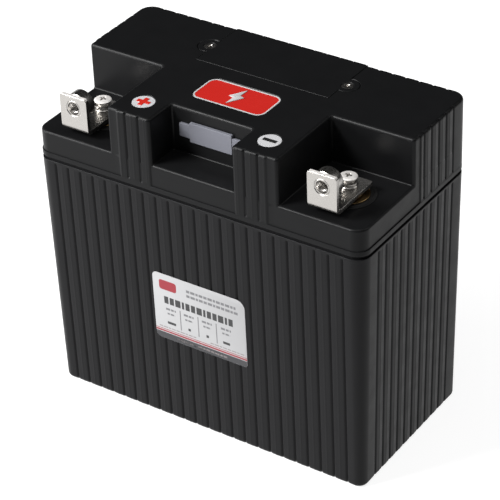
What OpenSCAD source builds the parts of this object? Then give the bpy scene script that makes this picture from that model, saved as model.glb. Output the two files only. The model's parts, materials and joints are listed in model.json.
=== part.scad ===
// Lithium motorcycle starter battery, built as it comes apart on a bench.
// Origin: centre of the base. +X towards the negative terminal, -Y towards
// the front, +Z up. All sizes in millimetres.

/* [Case] */
// Overall length, left to right
length = 165; // [160:1:175]
// Overall width, front to back
width = 86; // [84:1:92]
// Overall height
height = 155; // [153:1:165]
// Height of the joint between the case and the top cover
seam_height = 120; // [118:1:122]
// Thickness of the moulded walls
wall = 2.5; // [2:0.1:2.8]
// How far each side leans in from the seam down to the base
draft = 2; // [1:0.25:2.5]
// Radius of the upright corners
corner_radius = 6.5; // [5:0.5:8]

/* [Reeds] */
// Number of grooves along the front and back
long_grooves = 23; // [15:2:23]
// Number of grooves along each end
short_grooves = 11; // [7:2:11]
// Distance between neighbouring grooves along the front and back
long_pitch = 6.6; // [6:0.1:6.6]
// Distance between neighbouring grooves along each end
short_pitch = 6.05; // [5.5:0.05:6.25]
// Depth of the grooves
groove_depth = 0.6; // [0.4:0.1:0.8]

/* [Top cover] */
// Depth of the terminal pockets and the port window below the top
pocket_depth = 22; // [21:0.5:23]
// Width of the middle block between the terminal pockets
block_width = 85; // [84:1:88]
// Depth of the terminal pockets, front to back
pocket_reach = 41.5; // [40:0.5:43]
// Width of the port window
window_width = 40.7; // [39:0.1:42]
// Depth of the port window, front to back
window_reach = 16.2; // [15:0.1:17]

/* [Terminals] */
// Distance between the two terminal posts
post_spacing = 124; // [120:1:126]
// Distance of the posts behind the front face
post_reach = 23; // [22.5:0.5:24]
// Width of the angle bracket
bracket_width = 14; // [13:0.5:16]
// Thickness of the bracket metal
bracket_metal = 1.9; // [1.5:0.1:2]
// Radius of the brass flange on the pocket floor
flange_radius = 9; // [8:0.5:10]

/* [Access cover] */
// Width of the access cover
cover_width = 67; // [64:1:70]
// Depth of the access cover, measured from the back face
cover_reach = 32.5; // [31:0.5:34]
// Thickness of the access cover
cover_metal = 3; // [2.5:0.5:3]

/* [Cells] */
// Thickness of one pouch cell
cell_thickness = 12; // [10:0.5:12]
// Depth of one pouch cell, front to back
cell_depth = 70; // [60:1:70]
// Height of one pouch cell without its tabs
cell_height = 96; // [88:1:96]

/* [Hidden] */
$fn = 48;
eps = 0.01;

// Case
half_l = length / 2;
half_w = width / 2;
seam_gap = 0.4;
rim_z = seam_height - seam_gap;
lid_z = seam_height + seam_gap;
base_round = 2.5;
groove_half_width = 0.7;
reed_start = 1.6;
reed_end = rim_z - 1.8;
rim_round = 0.8;
long_room = half_l - draft - corner_radius - 0.5;
short_room = half_w - draft - corner_radius - 0.5;
long_step = min(long_pitch, 2 * long_room / (long_grooves - 1));
short_step = min(short_pitch, 2 * short_room / (short_grooves - 1));
floor_thick = 3;
skirt_thick = 1.4;
skirt_depth = 4;
skirt_gap = 0.15;

// Top cover
lip_height = 2.4;
plain_inset = 0.5;
pillar_reeds_x = 36.8;
side_reeds_y = 3.2;
deck = wall;
floor_z = height - pocket_depth;
ceiling_z = floor_z - deck;
pocket_y = -half_w + pocket_reach;
block_x = block_width / 2;
window_x = window_width / 2;
window_y = -half_w + window_reach;

// Access cover and its screws
cover_x = cover_width / 2;
cover_y = half_w - cover_reach;
cover_gap = 0.2;
gasket_thick = 1;
ledge_z = height - cover_metal - gasket_thick;
tray_depth = 6;
hatch_x = cover_x - 7;
hatch_front = cover_y + 6;
hatch_back = half_w - 7;
ear_x = cover_x + 1.6;
ear_y = cover_y + 13;
ear_radius = 5.3;
screw_radius = 1.5;
screw_bore = 1.55;
insert_radius = 2.3;
insert_length = 8;
screw_head_radius = 2.6;
screw_head_drop = 0.2;

// Port window
port_z = 144.6 + height - 155;
port_half_w = 9;
port_half_h = 3.3;
cap_thick = 1.45;
cap_gap = 0.05;
plug_depth = 6;
plug_gap = 0.25;
socket_wall = 1.5;
socket_depth = 14;
pin_pitch = 2.5;
pin_size = 0.64;
pin_tip = plug_depth + 1.2;
pin_tail = 4;
pin_count = 5;

// Terminals, measured up from the pocket floor
post_x = post_spacing / 2;
post_y = -half_w + post_reach;
seal_radius = 11.8;
seal_thick = 0.4;
flange_thick = 0.6;
boss_radius = 5.5;
boss_z = floor_z + 2.5;
stud_radius = 5;
stud_end = floor_z - 11;
post_bore = 2.55;
post_bore_depth = 11;
bracket_gap = 0.02;
foot_z = boss_z + bracket_gap;
foot_top = foot_z + bracket_metal;
plate_y = -half_w + 2.6;
plate_top = height - 2;
foot_back = 7.6;
bend_radius = 3;
lug_hole_z = plate_top - 5.8;
lug_bore = 2.55;
nut_collar = 3.6;
nut_radius = 6;
nut_length = 5.5;
clamp_shank = 2.5;
clamp_hole = 2.75;
clamp_head = 3.9;
flat_washer_thick = 0.8;
spring_washer_thick = 1.2;
clamp_head_z = foot_top + flat_washer_thick + spring_washer_thick;
clamp_head_cone = 2.1;
clamp_head_rim = 0.8;
clamp_length = 8.5;
post_nut_across = 14;
post_nut_thick = 4;
lug_ring_radius = 8.2;
lug_thick = 1.5;
lug_z = ceiling_z - 0.05 - lug_thick;
post_nut_z = lug_z - post_nut_thick;
barrel_radius = 2.9;
barrel_z = lug_z - barrel_radius + 0.4;
barrel_start = post_y + 8.6;
barrel_length = 11;
lead_radius = 2.3;

// Cells
cells = 8;
cell_pitch = cell_thickness + 0.6;
cell_z = 6;
cell_top = cell_z + cell_height;
tab_width = 14;
tab_thick = 0.6;
tab_y = 16;
carrier_z = cell_top + 1;
carrier_thick = 2;
bar_z = carrier_z + carrier_thick;
bar_thick = 1.2;
bar_width = 16;
stack_x = cells * cell_pitch / 2;
foam_top = stud_end - 4;
cavity_base_x = half_l - groove_depth - draft - wall;
cavity_base_y = half_w - groove_depth - draft - wall;

// Trim
badge_x = 31.5;
badge_y = -half_w + 12;
badge_radius = 5;
badge_recess = 0.5;
mark_thick = 0.15;
mark_arm = 3.2;
mark_bar = 2.1;
label_size = [47.9, 34.6];
label_x = -0.4;
label_z = 61.6;
label_thick = 0.25;
label_corner = 2.5;
label_sink = 0.05;
emblem_size = [36, 18];
emblem_corner = 4;
emblem_y = -8;
emblem_recess = 0.9;
emblem_thick = 0.75;

// A direction that no lead ever runs along
tube_up = [0.2, 1, 1];

black = [0.09, 0.09, 0.095];
nickel = [0.85, 0.84, 0.82];
brass_tone = [0.75, 0.58, 0.28];
copper_tone = [0.76, 0.45, 0.28];

// Outline functions

// How far the case side has leaned in at height z
function lean(z) = draft * (1 - z / seam_height);

// Points of one reeded side, from its first groove to its last, running along +s:
// narrow V grooves between almost flat reeds
function reed_run(grooves, step) = [
    for (i = [0 : grooves - 1])
        for (k = [-1 : 1])
            [(i - (grooves - 1) / 2) * step + k * groove_half_width, groove_depth * (1 - abs(k))]
];

// Points of a quarter circle about a corner, leaving out its two ends
function corner_arc(cx, cy, r, start) = [
    for (a = [6 : 13 : 84])
        [cx + r * cos(start + a), cy + r * sin(start + a)]
];

// Points of the reeded outline, running anticlockwise from the front left corner
function reeded_points(hx, hy, r) = concat(
    [for (p = reed_run(long_grooves, long_step)) [p[0], -hy + p[1]]],
    corner_arc(hx - r, -hy + r, r, -90),
    [for (p = reed_run(short_grooves, short_step)) [hx - p[1], p[0]]],
    corner_arc(hx - r, hy - r, r, 0),
    [for (p = reed_run(long_grooves, long_step)) [-p[0], hy - p[1]]],
    corner_arc(-hx + r, hy - r, r, 90),
    [for (p = reed_run(short_grooves, short_step)) [-hx + p[1], -p[0]]],
    corner_arc(-hx + r, -hy + r, r, 180)
);

module rounded_rect(hx, hy, r) {
    union() {
        square([2 * hx, 2 * (hy - r)], center = true);
        square([2 * (hx - r), 2 * hy], center = true);
        for (sx = [-1, 1])
            for (sy = [-1, 1])
                translate([sx * (hx - r), sy * (hy - r)])
                    circle(r);
    }
}

module slab(hx, hy, r, z0, z1) {
    translate([0, 0, z0])
        linear_extrude(z1 - z0)
            rounded_rect(hx, hy, r);
}

// A rounded block that widens from its base to its top
module tapered_block(base, top, r, z0, z1) {
    hull() {
        slab(base[0], base[1], r, z0, z0 + 0.1, $fn = 24);
        slab(top[0], top[1], r, z1 - 0.1, z1, $fn = 24);
    }
}

module box(from, to) {
    translate(from)
        cube(to - from);
}

module ring(outer, inner, z0, z1) {
    translate([0, 0, z0])
        difference() {
            cylinder(h = z1 - z0, r = outer);
            translate([0, 0, -1])
                cylinder(h = z1 - z0 + 2, r = inner);
        }
}

// Lower case

module reeded_wall() {
    z0 = reed_start;
    z1 = reed_end;
    hx = half_l - lean(z0);
    hy = half_w - lean(z0);
    translate([0, 0, z0])
        linear_extrude(z1 - z0, slices = 1, scale = [(half_l - lean(z1)) / hx, (half_w - lean(z1)) / hy])
            polygon(reeded_points(hx, hy, corner_radius));
}

// Plain band above the grooves, with a rounded rim
module case_band() {
    hull() {
        slab(half_l - lean(reed_end), half_w - lean(reed_end), corner_radius, reed_end - 0.1, reed_end, $fn = 24);
        slab(half_l, half_w, corner_radius, rim_z - rim_round - 0.1, rim_z - rim_round, $fn = 24);
        slab(half_l - 0.3, half_w - 0.3, corner_radius, rim_z - 0.4, rim_z - 0.3, $fn = 24);
        slab(half_l - rim_round, half_w - rim_round, corner_radius, rim_z - 0.1, rim_z, $fn = 24);
    }
}

// Plain foot below the grooves, rounded towards the base
module case_foot() {
    foot = [half_l - lean(base_round) - groove_depth, half_w - lean(base_round) - groove_depth];
    hull() {
        slab(foot[0] - 1.9, foot[1] - 1.9, corner_radius - 1, 0, 0.1, $fn = 24);
        slab(foot[0] - 0.6, foot[1] - 0.6, corner_radius - 1, 0.8, 0.9, $fn = 24);
        slab(foot[0], foot[1], corner_radius - groove_depth, base_round, base_round + 0.1, $fn = 24);
    }
}

// Places its children on the leaning front face: X to the right, Y up the face, Z outwards
module on_front(z) {
    translate([label_x, -half_w + lean(z), z])
        rotate([90 + atan(draft / seam_height), 0, 0])
            children();
}

module label_outline() {
    rounded_rect(label_size[0] / 2, label_size[1] / 2, label_corner);
}

module lower_case() {
    color(black)
        difference() {
            union() {
                case_foot();
                reeded_wall();
                case_band();
            }
            tapered_block(
                [cavity_base_x, cavity_base_y],
                [half_l - groove_depth - wall, half_w - groove_depth - wall],
                corner_radius - wall, floor_thick, rim_z + 1
            );
            on_front(label_z)
                translate([0, 0, -label_sink])
                    linear_extrude(1)
                        label_outline();
        }
}

// Bead of sealant in the joint, seen as a dark line
module seam_seal() {
    outer_x = half_l - groove_depth - 1.2;
    outer_y = half_w - groove_depth - 1.2;
    color([0.03, 0.03, 0.03])
        difference() {
            slab(outer_x, outer_y, corner_radius - 1.5, rim_z, lid_z);
            slab(outer_x - 1.2, outer_y - 1.2, corner_radius - 2.7, rim_z - 1, lid_z + 1);
        }
}

// Top cover

// Plan of the raised part: the rear block, the middle block and the window cut in it
module upper_plan(inset) {
    far = length;
    back = pocket_y + inset;
    side = block_x - inset;
    cheek = window_x + inset;
    sill = window_y + inset;
    polygon([
        [-far, back], [-side, back], [-side, -far], [-cheek, -far], [-cheek, sill], [cheek, sill],
        [cheek, -far], [side, -far], [side, back], [far, back], [far, far], [-far, far]
    ]);
}

// Where the raised part is reeded: the back, the sides behind the pockets, the pillars
module reeded_zone() {
    translate([-length, side_reeds_y])
        square([2 * length, width]);
    translate([-pillar_reeds_x, -width])
        square([2 * pillar_reeds_x, width]);
}

module upper_outer() {
    translate([0, 0, floor_z - 0.5])
        linear_extrude(height - floor_z + 0.5)
            intersection() {
                union() {
                    rounded_rect(half_l - plain_inset, half_w - plain_inset, corner_radius - plain_inset);
                    intersection() {
                        polygon(reeded_points(half_l, half_w, corner_radius));
                        reeded_zone();
                    }
                }
                upper_plan(0);
            }
}

module upper_cavity() {
    translate([0, 0, ceiling_z - 1])
        linear_extrude(height - deck - ceiling_z + 1)
            intersection() {
                rounded_rect(half_l - groove_depth - wall, half_w - groove_depth - wall, corner_radius - wall);
                upper_plan(wall);
            }
}

module shoulder() {
    slab(half_l, half_w, corner_radius, lid_z, lid_z + lip_height);
    slab(half_l - plain_inset, half_w - plain_inset, corner_radius - plain_inset, lid_z, floor_z);
}

// Skirt that drops inside the case mouth
module skirt() {
    x = half_l - groove_depth - wall - skirt_gap - lean(seam_height - skirt_depth);
    y = half_w - groove_depth - wall - skirt_gap - lean(seam_height - skirt_depth);
    difference() {
        slab(x, y, corner_radius - wall, seam_height - skirt_depth, lid_z + 1);
        slab(x - skirt_thick, y - skirt_thick, corner_radius - wall - 1, 0, lid_z + 2);
    }
}

module shoulder_cavity() {
    x = half_l - groove_depth - wall - skirt_gap - skirt_thick;
    y = half_w - groove_depth - wall - skirt_gap - skirt_thick;
    slab(x - 0.1, y - 0.1, corner_radius - wall, lid_z - 1, ceiling_z);
}

// Solid surround under the access cover and its screws
module access_tray() {
    box([-ear_x - ear_radius, cover_y - 3, height - deck - tray_depth], [ear_x + ear_radius, half_w - 3, height - 0.5]);
}

module access_plan(gap) {
    translate([-cover_x - gap, cover_y - gap])
        square([2 * (cover_x + gap), cover_reach + gap]);
    for (s = [-1, 1])
        translate([s * ear_x, ear_y])
            circle(ear_radius + gap);
}

module access_recess() {
    translate([0, 0, ledge_z])
        linear_extrude(height)
            union() {
                access_plan(cover_gap);
                translate([-cover_x - cover_gap, half_w - 1])
                    square([2 * (cover_x + cover_gap), 3]);
            }
    box([-hatch_x, hatch_front, height - deck - tray_depth - 1], [hatch_x, hatch_back, height]);
    for (s = [-1, 1])
        translate([s * ear_x, ear_y, ledge_z - insert_length])
            cylinder(h = insert_length + 1, r = insert_radius);
}

module insert_bosses() {
    for (s = [-1, 1])
        translate([s * ear_x, ear_y, ledge_z - insert_length - 1.5])
            cylinder(h = insert_length + 1, r = insert_radius + 1.8);
}

module port_opening() {
    box([-port_half_w, window_y - 1, port_z - port_half_h], [port_half_w, window_y + wall + 1, port_z + port_half_h]);
}

module trim_recesses() {
    for (s = [-1, 1])
        translate([s * badge_x, badge_y, height - badge_recess])
            cylinder(h = 2, r = badge_radius + 0.15);
    translate([0, emblem_y, height - emblem_recess])
        linear_extrude(2)
            rounded_rect(emblem_size[0] / 2 + 0.15, emblem_size[1] / 2 + 0.15, emblem_corner);
}

module top_cover() {
    color(black)
        difference() {
            union() {
                difference() {
                    union() {
                        shoulder();
                        skirt();
                        upper_outer();
                    }
                    shoulder_cavity();
                    upper_cavity();
                }
                access_tray();
                insert_bosses();
            }
            access_recess();
            port_opening();
            trim_recesses();
            for (s = [-1, 1])
                translate([s * post_x, post_y, ceiling_z - 1])
                    cylinder(h = deck + 2, r = stud_radius + 0.05);
        }
}

// Access cover

module access_cover() {
    color(black)
        difference() {
            translate([0, 0, height - cover_metal])
                linear_extrude(cover_metal)
                    access_plan(0);
            for (s = [-1, 1])
                translate([s * ear_x, ear_y, 0]) {
                    cylinder(h = height + 1, r = screw_radius + 0.2);
                    translate([0, 0, height - screw_head_drop - 1.5])
                        cylinder(h = 1.5, r1 = screw_radius + 0.2, r2 = screw_head_radius + 0.2);
                    translate([0, 0, height - screw_head_drop - eps])
                        cylinder(h = 1, r = screw_head_radius + 0.2);
                }
        }
}

module access_gasket() {
    color([0.12, 0.12, 0.12])
        difference() {
            box([-hatch_x - 3, hatch_front - 3, ledge_z], [hatch_x + 3, hatch_back + 3, ledge_z + gasket_thick - 0.05]);
            box([-hatch_x, hatch_front, 0], [hatch_x, hatch_back, height]);
        }
}

module cross_recess(size, depth, top) {
    for (a = [0, 90])
        rotate([0, 0, a])
            box([-size, -size / 4, top - depth], [size, size / 4, top + 1]);
}

module access_screw(side) {
    top = height - screw_head_drop;
    color(nickel)
        translate([side * ear_x, ear_y, 0])
            difference() {
                union() {
                    translate([0, 0, ledge_z - insert_length + 1.5])
                        cylinder(h = top - 1 - ledge_z + insert_length - 1.5, r = screw_radius);
                    translate([0, 0, top - 1.3])
                        cylinder(h = 1.1, r1 = screw_radius, r2 = screw_head_radius);
                    translate([0, 0, top - 0.2])
                        cylinder(h = 0.2, r = screw_head_radius);
                }
                cross_recess(1.5, 0.9, top);
            }
}

module access_screw_left() { access_screw(-1); }
module access_screw_right() { access_screw(1); }

module access_inserts() {
    color(brass_tone)
        for (s = [-1, 1])
            translate([s * ear_x, ear_y, 0])
                ring(insert_radius, screw_bore, ledge_z - insert_length, ledge_z - 0.05);
}

// Port

module port_cap() {
    front = window_y - cap_gap - cap_thick;
    color([0.66, 0.67, 0.72])
        union() {
            box([-10.7, front, port_z - 4.65], [10.7, window_y - cap_gap, port_z + 4.65]);
            box([-16, front + 0.2, port_z - 3.1], [16, window_y - cap_gap, port_z + 3.2]);
            difference() {
                box(
                    [-port_half_w + plug_gap, front + 0.5, port_z - port_half_h + plug_gap],
                    [port_half_w - plug_gap, window_y + plug_depth, port_z + port_half_h - plug_gap]
                );
                box(
                    [-port_half_w + 1.5, window_y + 0.5, port_z - port_half_h + 1.5],
                    [port_half_w - 1.5, window_y + plug_depth + 1, port_z + port_half_h - 1.5]
                );
            }
        }
}

module port_socket() {
    y0 = window_y + wall + 0.05;
    y1 = y0 + socket_depth;
    x = port_half_w + socket_wall;
    z = port_half_h + socket_wall;
    color([0.85, 0.84, 0.78])
        difference() {
            box([-x, y0, port_z - z], [x, y1, port_z + z]);
            box([-port_half_w, y0 - 1, port_z - port_half_h], [port_half_w, y1 - 2, port_z + port_half_h]);
            for (i = [0 : pin_count - 1])
                translate([(i - (pin_count - 1) / 2) * pin_pitch, y1 - 3, port_z])
                    rotate([-90, 0, 0])
                        translate([-pin_size / 2, -pin_size / 2, 0])
                            cube([pin_size, pin_size, 5]);
        }
}

function port_tail_y() = window_y + wall + 0.05 + socket_depth + pin_tail;
function pin_x(i) = (i - (pin_count - 1) / 2) * pin_pitch;

module port_pins() {
    color(nickel)
        for (i = [0 : pin_count - 1])
            box(
                [pin_x(i) - pin_size / 2, window_y + pin_tip, port_z - pin_size / 2],
                [pin_x(i) + pin_size / 2, port_tail_y(), port_z + pin_size / 2]
            );
}

// A tube swept along a route: rings of points square to the path, closed at both ends
function unit(v) = v / norm(v);
function heading(route, i) =
    i == 0 ? unit(route[1] - route[0]) :
    i == len(route) - 1 ? unit(route[i] - route[i - 1]) :
    unit(unit(route[i + 1] - route[i]) + unit(route[i] - route[i - 1]));
function ring_points(route, i, r, sides) =
    let (d = heading(route, i), u = unit(cross(d, tube_up)), v = cross(d, u))
    [for (k = [0 : sides - 1]) route[i] + r * (u * cos(360 * k / sides) + v * sin(360 * k / sides))];

module tube(route, r, sides = 8) {
    n = len(route);
    points = [for (i = [0 : n - 1]) each ring_points(route, i, r, sides)];
    walls = [
        for (i = [0 : n - 2])
            for (k = [0 : sides - 1])
                let (a = i * sides + k, b = i * sides + (k + 1) % sides)
                each [[a, a + sides, b], [b, a + sides, b + sides]]
    ];
    first = [[for (k = [0 : sides - 1]) k]];
    last = [[for (k = [sides - 1 : -1 : 0]) (n - 1) * sides + k]];
    polyhedron(points, concat(walls, first, last));
}

// Points of a smooth curve that leaves a along u and comes into b against v, with straight ends
function bezier(a, ha, hb, b, t) =
    pow(1 - t, 3) * a + 3 * pow(1 - t, 2) * t * ha + 3 * (1 - t) * t * t * hb + pow(t, 3) * b;
function curve(a, u, b, v, steps) = concat(
    [a],
    [for (i = [0 : steps]) bezier(a + unit(u), a + u, b + v, b + unit(v), i / steps)],
    [b]
);

// Five thin leads from the port pins down to the cell links
module sense_leads() {
    colors = ["red", "yellow", "blue", "white", "black"];
    for (i = [0 : pin_count - 1]) {
        start = [pin_x(i), port_tail_y() + 0.05, port_z];
        end = [tap_x(i), tap_y(i), bar_z + bar_thick + 0.05];
        color(colors[i])
            tube(curve(start, [0, 10, 0], end, [0, 0, 22], 12), 0.7);
    }
}

// Cells

function cell_x(i) = (i - (cells - 1) / 2) * cell_pitch;

// Where each sense lead lands: one end bar, the three links, the other end bar
function tap_x(i) = (i - 2) * 2 * cell_pitch * (abs(i - 2) == 2 ? 0.86 : 1);
function tap_y(i) = i % 2 == 0 ? tab_y - 5 : -tab_y + 5;

module pouch(i) {
    h = cell_height - 4;
    color([0.78, 0.79, 0.81])
        translate([cell_x(i), 0, 0])
            union() {
                box([-cell_thickness / 2, -cell_depth / 2 + 2.5, cell_z + 1], [cell_thickness / 2, cell_depth / 2 - 2.5, cell_z + h]);
                box([-0.5, -cell_depth / 2, cell_z], [0.5, cell_depth / 2, cell_top]);
                for (s = [-1, 1])
                    box(
                        [-tab_thick / 2, s * tab_y - tab_width / 2, cell_top - 3],
                        [tab_thick / 2, s * tab_y + tab_width / 2, bar_z - 0.02]
                    );
            }
}

module cell_1() { pouch(0); }
module cell_2() { pouch(1); }
module cell_3() { pouch(2); }
module cell_4() { pouch(3); }
module cell_5() { pouch(4); }
module cell_6() { pouch(5); }
module cell_7() { pouch(6); }
module cell_8() { pouch(7); }

module cell_spacers() {
    gap = cell_pitch - cell_thickness - 0.04;
    color([0.2, 0.2, 0.22])
        for (i = [0 : cells - 2])
            translate([(cell_x(i) + cell_x(i + 1)) / 2, 0, 0])
                box([-gap / 2, -cell_depth / 2 + 4, cell_z + 2], [gap / 2, cell_depth / 2 - 4, cell_z + cell_height - 5]);
}

// Foam block between the cells and one end of the case
module end_foam(side) {
    inner = stack_x + 0.2;
    outer = cavity_base_x - 0.5;
    color([0.24, 0.24, 0.26])
        translate([side * (inner + outer) / 2, 0, cell_z])
            translate([0, 0, (foam_top - cell_z) / 2])
                cube([outer - inner, cell_depth + 2, foam_top - cell_z], center = true);
}

module end_foam_left() { end_foam(-1); }
module end_foam_right() { end_foam(1); }

module bottom_pad() {
    color([0.24, 0.24, 0.26])
        box(
            [-cavity_base_x + 1.5, -cavity_base_y + 1.5, floor_thick + 0.02],
            [cavity_base_x - 1.5, cavity_base_y - 1.5, cell_z - 0.02]
        );
}

module side_pads() {
    y0 = cell_depth / 2 + 0.1;
    y1 = cavity_base_y - 0.3;
    color([0.24, 0.24, 0.26])
        for (s = [-1, 1])
            translate([0, s * (y0 + y1) / 2, (cell_z + cell_top) / 2])
                cube([2 * stack_x - 1, y1 - y0, cell_height - 4], center = true);
}

// Insulating plate with a slot for every tab
module tab_carrier() {
    color([0.75, 0.76, 0.7])
        difference() {
            box([-stack_x, -cell_depth / 2 + 2, carrier_z], [stack_x, cell_depth / 2 - 2, bar_z - 0.02]);
            for (i = [0 : cells - 1])
                for (s = [-1, 1])
                    translate([cell_x(i), s * tab_y, 0])
                        box([-0.6, -tab_width / 2 - 0.3, 0], [0.6, tab_width / 2 + 0.3, height]);
        }
}

// A flat copper bar from the first to the last cell named, on one row of tabs
module link_bar(first, last, row) {
    color(copper_tone)
        box(
            [cell_x(first) - 4, row * tab_y - bar_width / 2, bar_z],
            [cell_x(last) + 4, row * tab_y + bar_width / 2, bar_z + bar_thick]
        );
}

module positive_busbar() { link_bar(0, 1, 1); }
module series_link_1() { link_bar(0, 3, -1); }
module series_link_2() { link_bar(2, 5, 1); }
module series_link_3() { link_bar(4, 7, -1); }
module negative_busbar() { link_bar(6, 7, 1); }

// Terminal lead, lug and post

module terminal_lead(side, tone) {
    start = [side * post_x, barrel_start + barrel_length - 0.02, barrel_z];
    end = [side * (cell_x(7) - cell_pitch / 2), tab_y + 2, bar_z + bar_thick + 0.02];
    color(tone)
        tube(curve(start, [0, 12, 0], end, [0, 0, 20], 12), lead_radius);
}

module positive_lead() { terminal_lead(-1, [0.7, 0.1, 0.08]); }
module negative_lead() { terminal_lead(1, [0.08, 0.08, 0.08]); }

module terminal_lug(side) {
    color([0.8, 0.8, 0.78])
        translate([side * post_x, 0, 0])
            difference() {
                union() {
                    translate([0, post_y, lug_z])
                        cylinder(h = lug_thick, r = lug_ring_radius);
                    box([-4, post_y, lug_z], [4, barrel_start + 2, lug_z + lug_thick]);
                    translate([0, barrel_start, barrel_z])
                        rotate([-90, 0, 0])
                            cylinder(h = barrel_length - 0.04, r = barrel_radius);
                    box([-2, barrel_start, barrel_z], [2, barrel_start + 2, lug_z + lug_thick]);
                }
                translate([0, post_y, lug_z - 1])
                    cylinder(h = lug_thick + 2, r = stud_radius + 0.05);
            }
}

module positive_lug() { terminal_lug(-1); }
module negative_lug() { terminal_lug(1); }

module terminal_post(side) {
    flange_z = floor_z + seal_thick;
    color(brass_tone)
        translate([side * post_x, post_y, 0])
            difference() {
                union() {
                    translate([0, 0, stud_end])
                        cylinder(h = boss_z - stud_end - 1, r = stud_radius);
                    translate([0, 0, flange_z])
                        cylinder(h = flange_thick, r = flange_radius);
                    translate([0, 0, flange_z])
                        cylinder(h = boss_z - flange_z, r = boss_radius);
                }
                translate([0, 0, boss_z - post_bore_depth])
                    cylinder(h = post_bore_depth + 1, r = post_bore);
            }
}

module positive_post() { terminal_post(-1); }
module negative_post() { terminal_post(1); }

module post_seal(side) {
    color([0.05, 0.05, 0.05])
        translate([side * post_x, post_y, 0])
            ring(seal_radius, stud_radius + 0.02, floor_z, floor_z + seal_thick);
}

module positive_post_seal() { post_seal(-1); }
module negative_post_seal() { post_seal(1); }

module post_nut(side) {
    color(brass_tone)
        translate([side * post_x, post_y, post_nut_z])
            difference() {
                cylinder(h = post_nut_thick, r = post_nut_across / sqrt(3), $fn = 6);
                translate([0, 0, -1])
                    cylinder(h = post_nut_thick + 2, r = stud_radius + 0.02);
            }
}

module positive_post_nut() { post_nut(-1); }
module negative_post_nut() { post_nut(1); }

// Angle bracket: a foot on the post, a bend and an upright plate with the lug hole

module bracket(side) {
    w = bracket_width / 2;
    r = 1.2;
    color(nickel)
        translate([side * post_x, 0, 0])
            difference() {
                union() {
                    box([-w, plate_y + bend_radius, foot_z], [w, post_y + foot_back, foot_top]);
                    bracket_bend();
                    translate([0, plate_y + bracket_metal, foot_z + bend_radius])
                        rotate([90, 0, 0])
                            linear_extrude(bracket_metal)
                                plate_outline(w, plate_top - foot_z - bend_radius, r);
                }
                translate([0, post_y, foot_z - 1])
                    cylinder(h = bracket_metal + 2, r = clamp_hole);
                translate([0, plate_y - 1, lug_hole_z])
                    rotate([-90, 0, 0])
                        cylinder(h = bracket_metal + 2, r = nut_collar);
            }
}

// Quarter bend between the foot and the plate
module bracket_bend() {
    intersection() {
        translate([0, plate_y + bend_radius, foot_z + bend_radius])
            rotate([0, 90, 0])
                difference() {
                    cylinder(h = bracket_width, r = bend_radius, center = true);
                    cylinder(h = bracket_width + 2, r = bend_radius - bracket_metal, center = true);
                }
        box([-bracket_width, plate_y - 1, foot_z - 1], [bracket_width, plate_y + bend_radius, foot_z + bend_radius]);
    }
}

// Upright plate with its two upper corners rounded
module plate_outline(w, h, r) {
    translate([-w, 0])
        square([2 * w, h - r]);
    translate([-w + r, 0])
        square([2 * (w - r), h]);
    for (s = [-1, 1])
        translate([s * (w - r), h - r])
            circle(r);
}

module positive_bracket() { bracket(-1); }
module negative_bracket() { bracket(1); }

// Clinched nut behind the plate: the threaded lug hole runs through it
module bracket_nut(side) {
    collar_front = plate_y + 0.15;
    body_front = plate_y + bracket_metal + 0.01;
    color(nickel)
        translate([side * post_x, 0, lug_hole_z])
            rotate([-90, 0, 0])
                difference() {
                    union() {
                        translate([0, 0, collar_front])
                            cylinder(h = body_front - collar_front + 1, r = nut_collar - 0.02);
                        translate([0, 0, body_front])
                            cylinder(h = nut_length, r = nut_radius);
                    }
                    translate([0, 0, plate_y - 1])
                        cylinder(h = bracket_metal + nut_length + 4, r = lug_bore);
                }
}

module positive_bracket_nut() { bracket_nut(-1); }
module negative_bracket_nut() { bracket_nut(1); }

module clamp_screw(side) {
    top = clamp_head_z + clamp_head_cone + clamp_head_rim;
    color(nickel)
        translate([side * post_x, post_y, 0])
            difference() {
                union() {
                    translate([0, 0, foot_top - clamp_length])
                        cylinder(h = clamp_length + 3, r = clamp_shank);
                    translate([0, 0, clamp_head_z])
                        cylinder(h = clamp_head_cone, r1 = clamp_shank + 0.3, r2 = clamp_head);
                    translate([0, 0, clamp_head_z + clamp_head_cone])
                        cylinder(h = clamp_head_rim, r = clamp_head);
                }
                cross_recess(2.1, 1.6, top);
            }
}

module positive_clamp_screw() { clamp_screw(-1); }
module negative_clamp_screw() { clamp_screw(1); }

module flat_washer(side) {
    color(nickel)
        translate([side * post_x, post_y, 0])
            ring(4, clamp_shank + 0.05, foot_top + bracket_gap, foot_top + flat_washer_thick);
}

// Split spring washer
module spring_washer(side) {
    z0 = foot_top + flat_washer_thick + 0.01;
    color(nickel)
        translate([side * post_x, post_y, 0])
            difference() {
                ring(3.7, clamp_shank + 0.05, z0, clamp_head_z - 0.01);
                translate([0, 0, z0])
                    rotate([0, 20, 0])
                        box([-0.3, -6, -3], [0.3, 0, 6]);
            }
}

module positive_flat_washer() { flat_washer(-1); }
module negative_flat_washer() { flat_washer(1); }
module positive_spring_washer() { spring_washer(-1); }
module negative_spring_washer() { spring_washer(1); }

// Trim

module badge(side) {
    color([0.92, 0.92, 0.92])
        translate([side * badge_x, badge_y, height - badge_recess])
            cylinder(h = badge_recess - mark_thick, r = badge_radius);
}

module mark_strip(angle) {
    rotate([0, 0, angle])
        box([-mark_arm, -mark_bar / 2, 0], [mark_arm, mark_bar / 2, mark_thick]);
}

module plus_badge() { badge(-1); }
module minus_badge() { badge(1); }

module plus_mark() {
    color([0.8, 0.08, 0.06])
        translate([-badge_x, badge_y, height - mark_thick]) {
            mark_strip(0);
            mark_strip(90);
        }
}

module minus_mark() {
    color(black)
        translate([badge_x, badge_y, height - mark_thick])
            mark_strip(0);
}

module label() {
    color([0.86, 0.86, 0.85])
        on_front(label_z)
            translate([0, 0, -label_sink])
                linear_extrude(label_thick)
                    label_outline();
}

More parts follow.
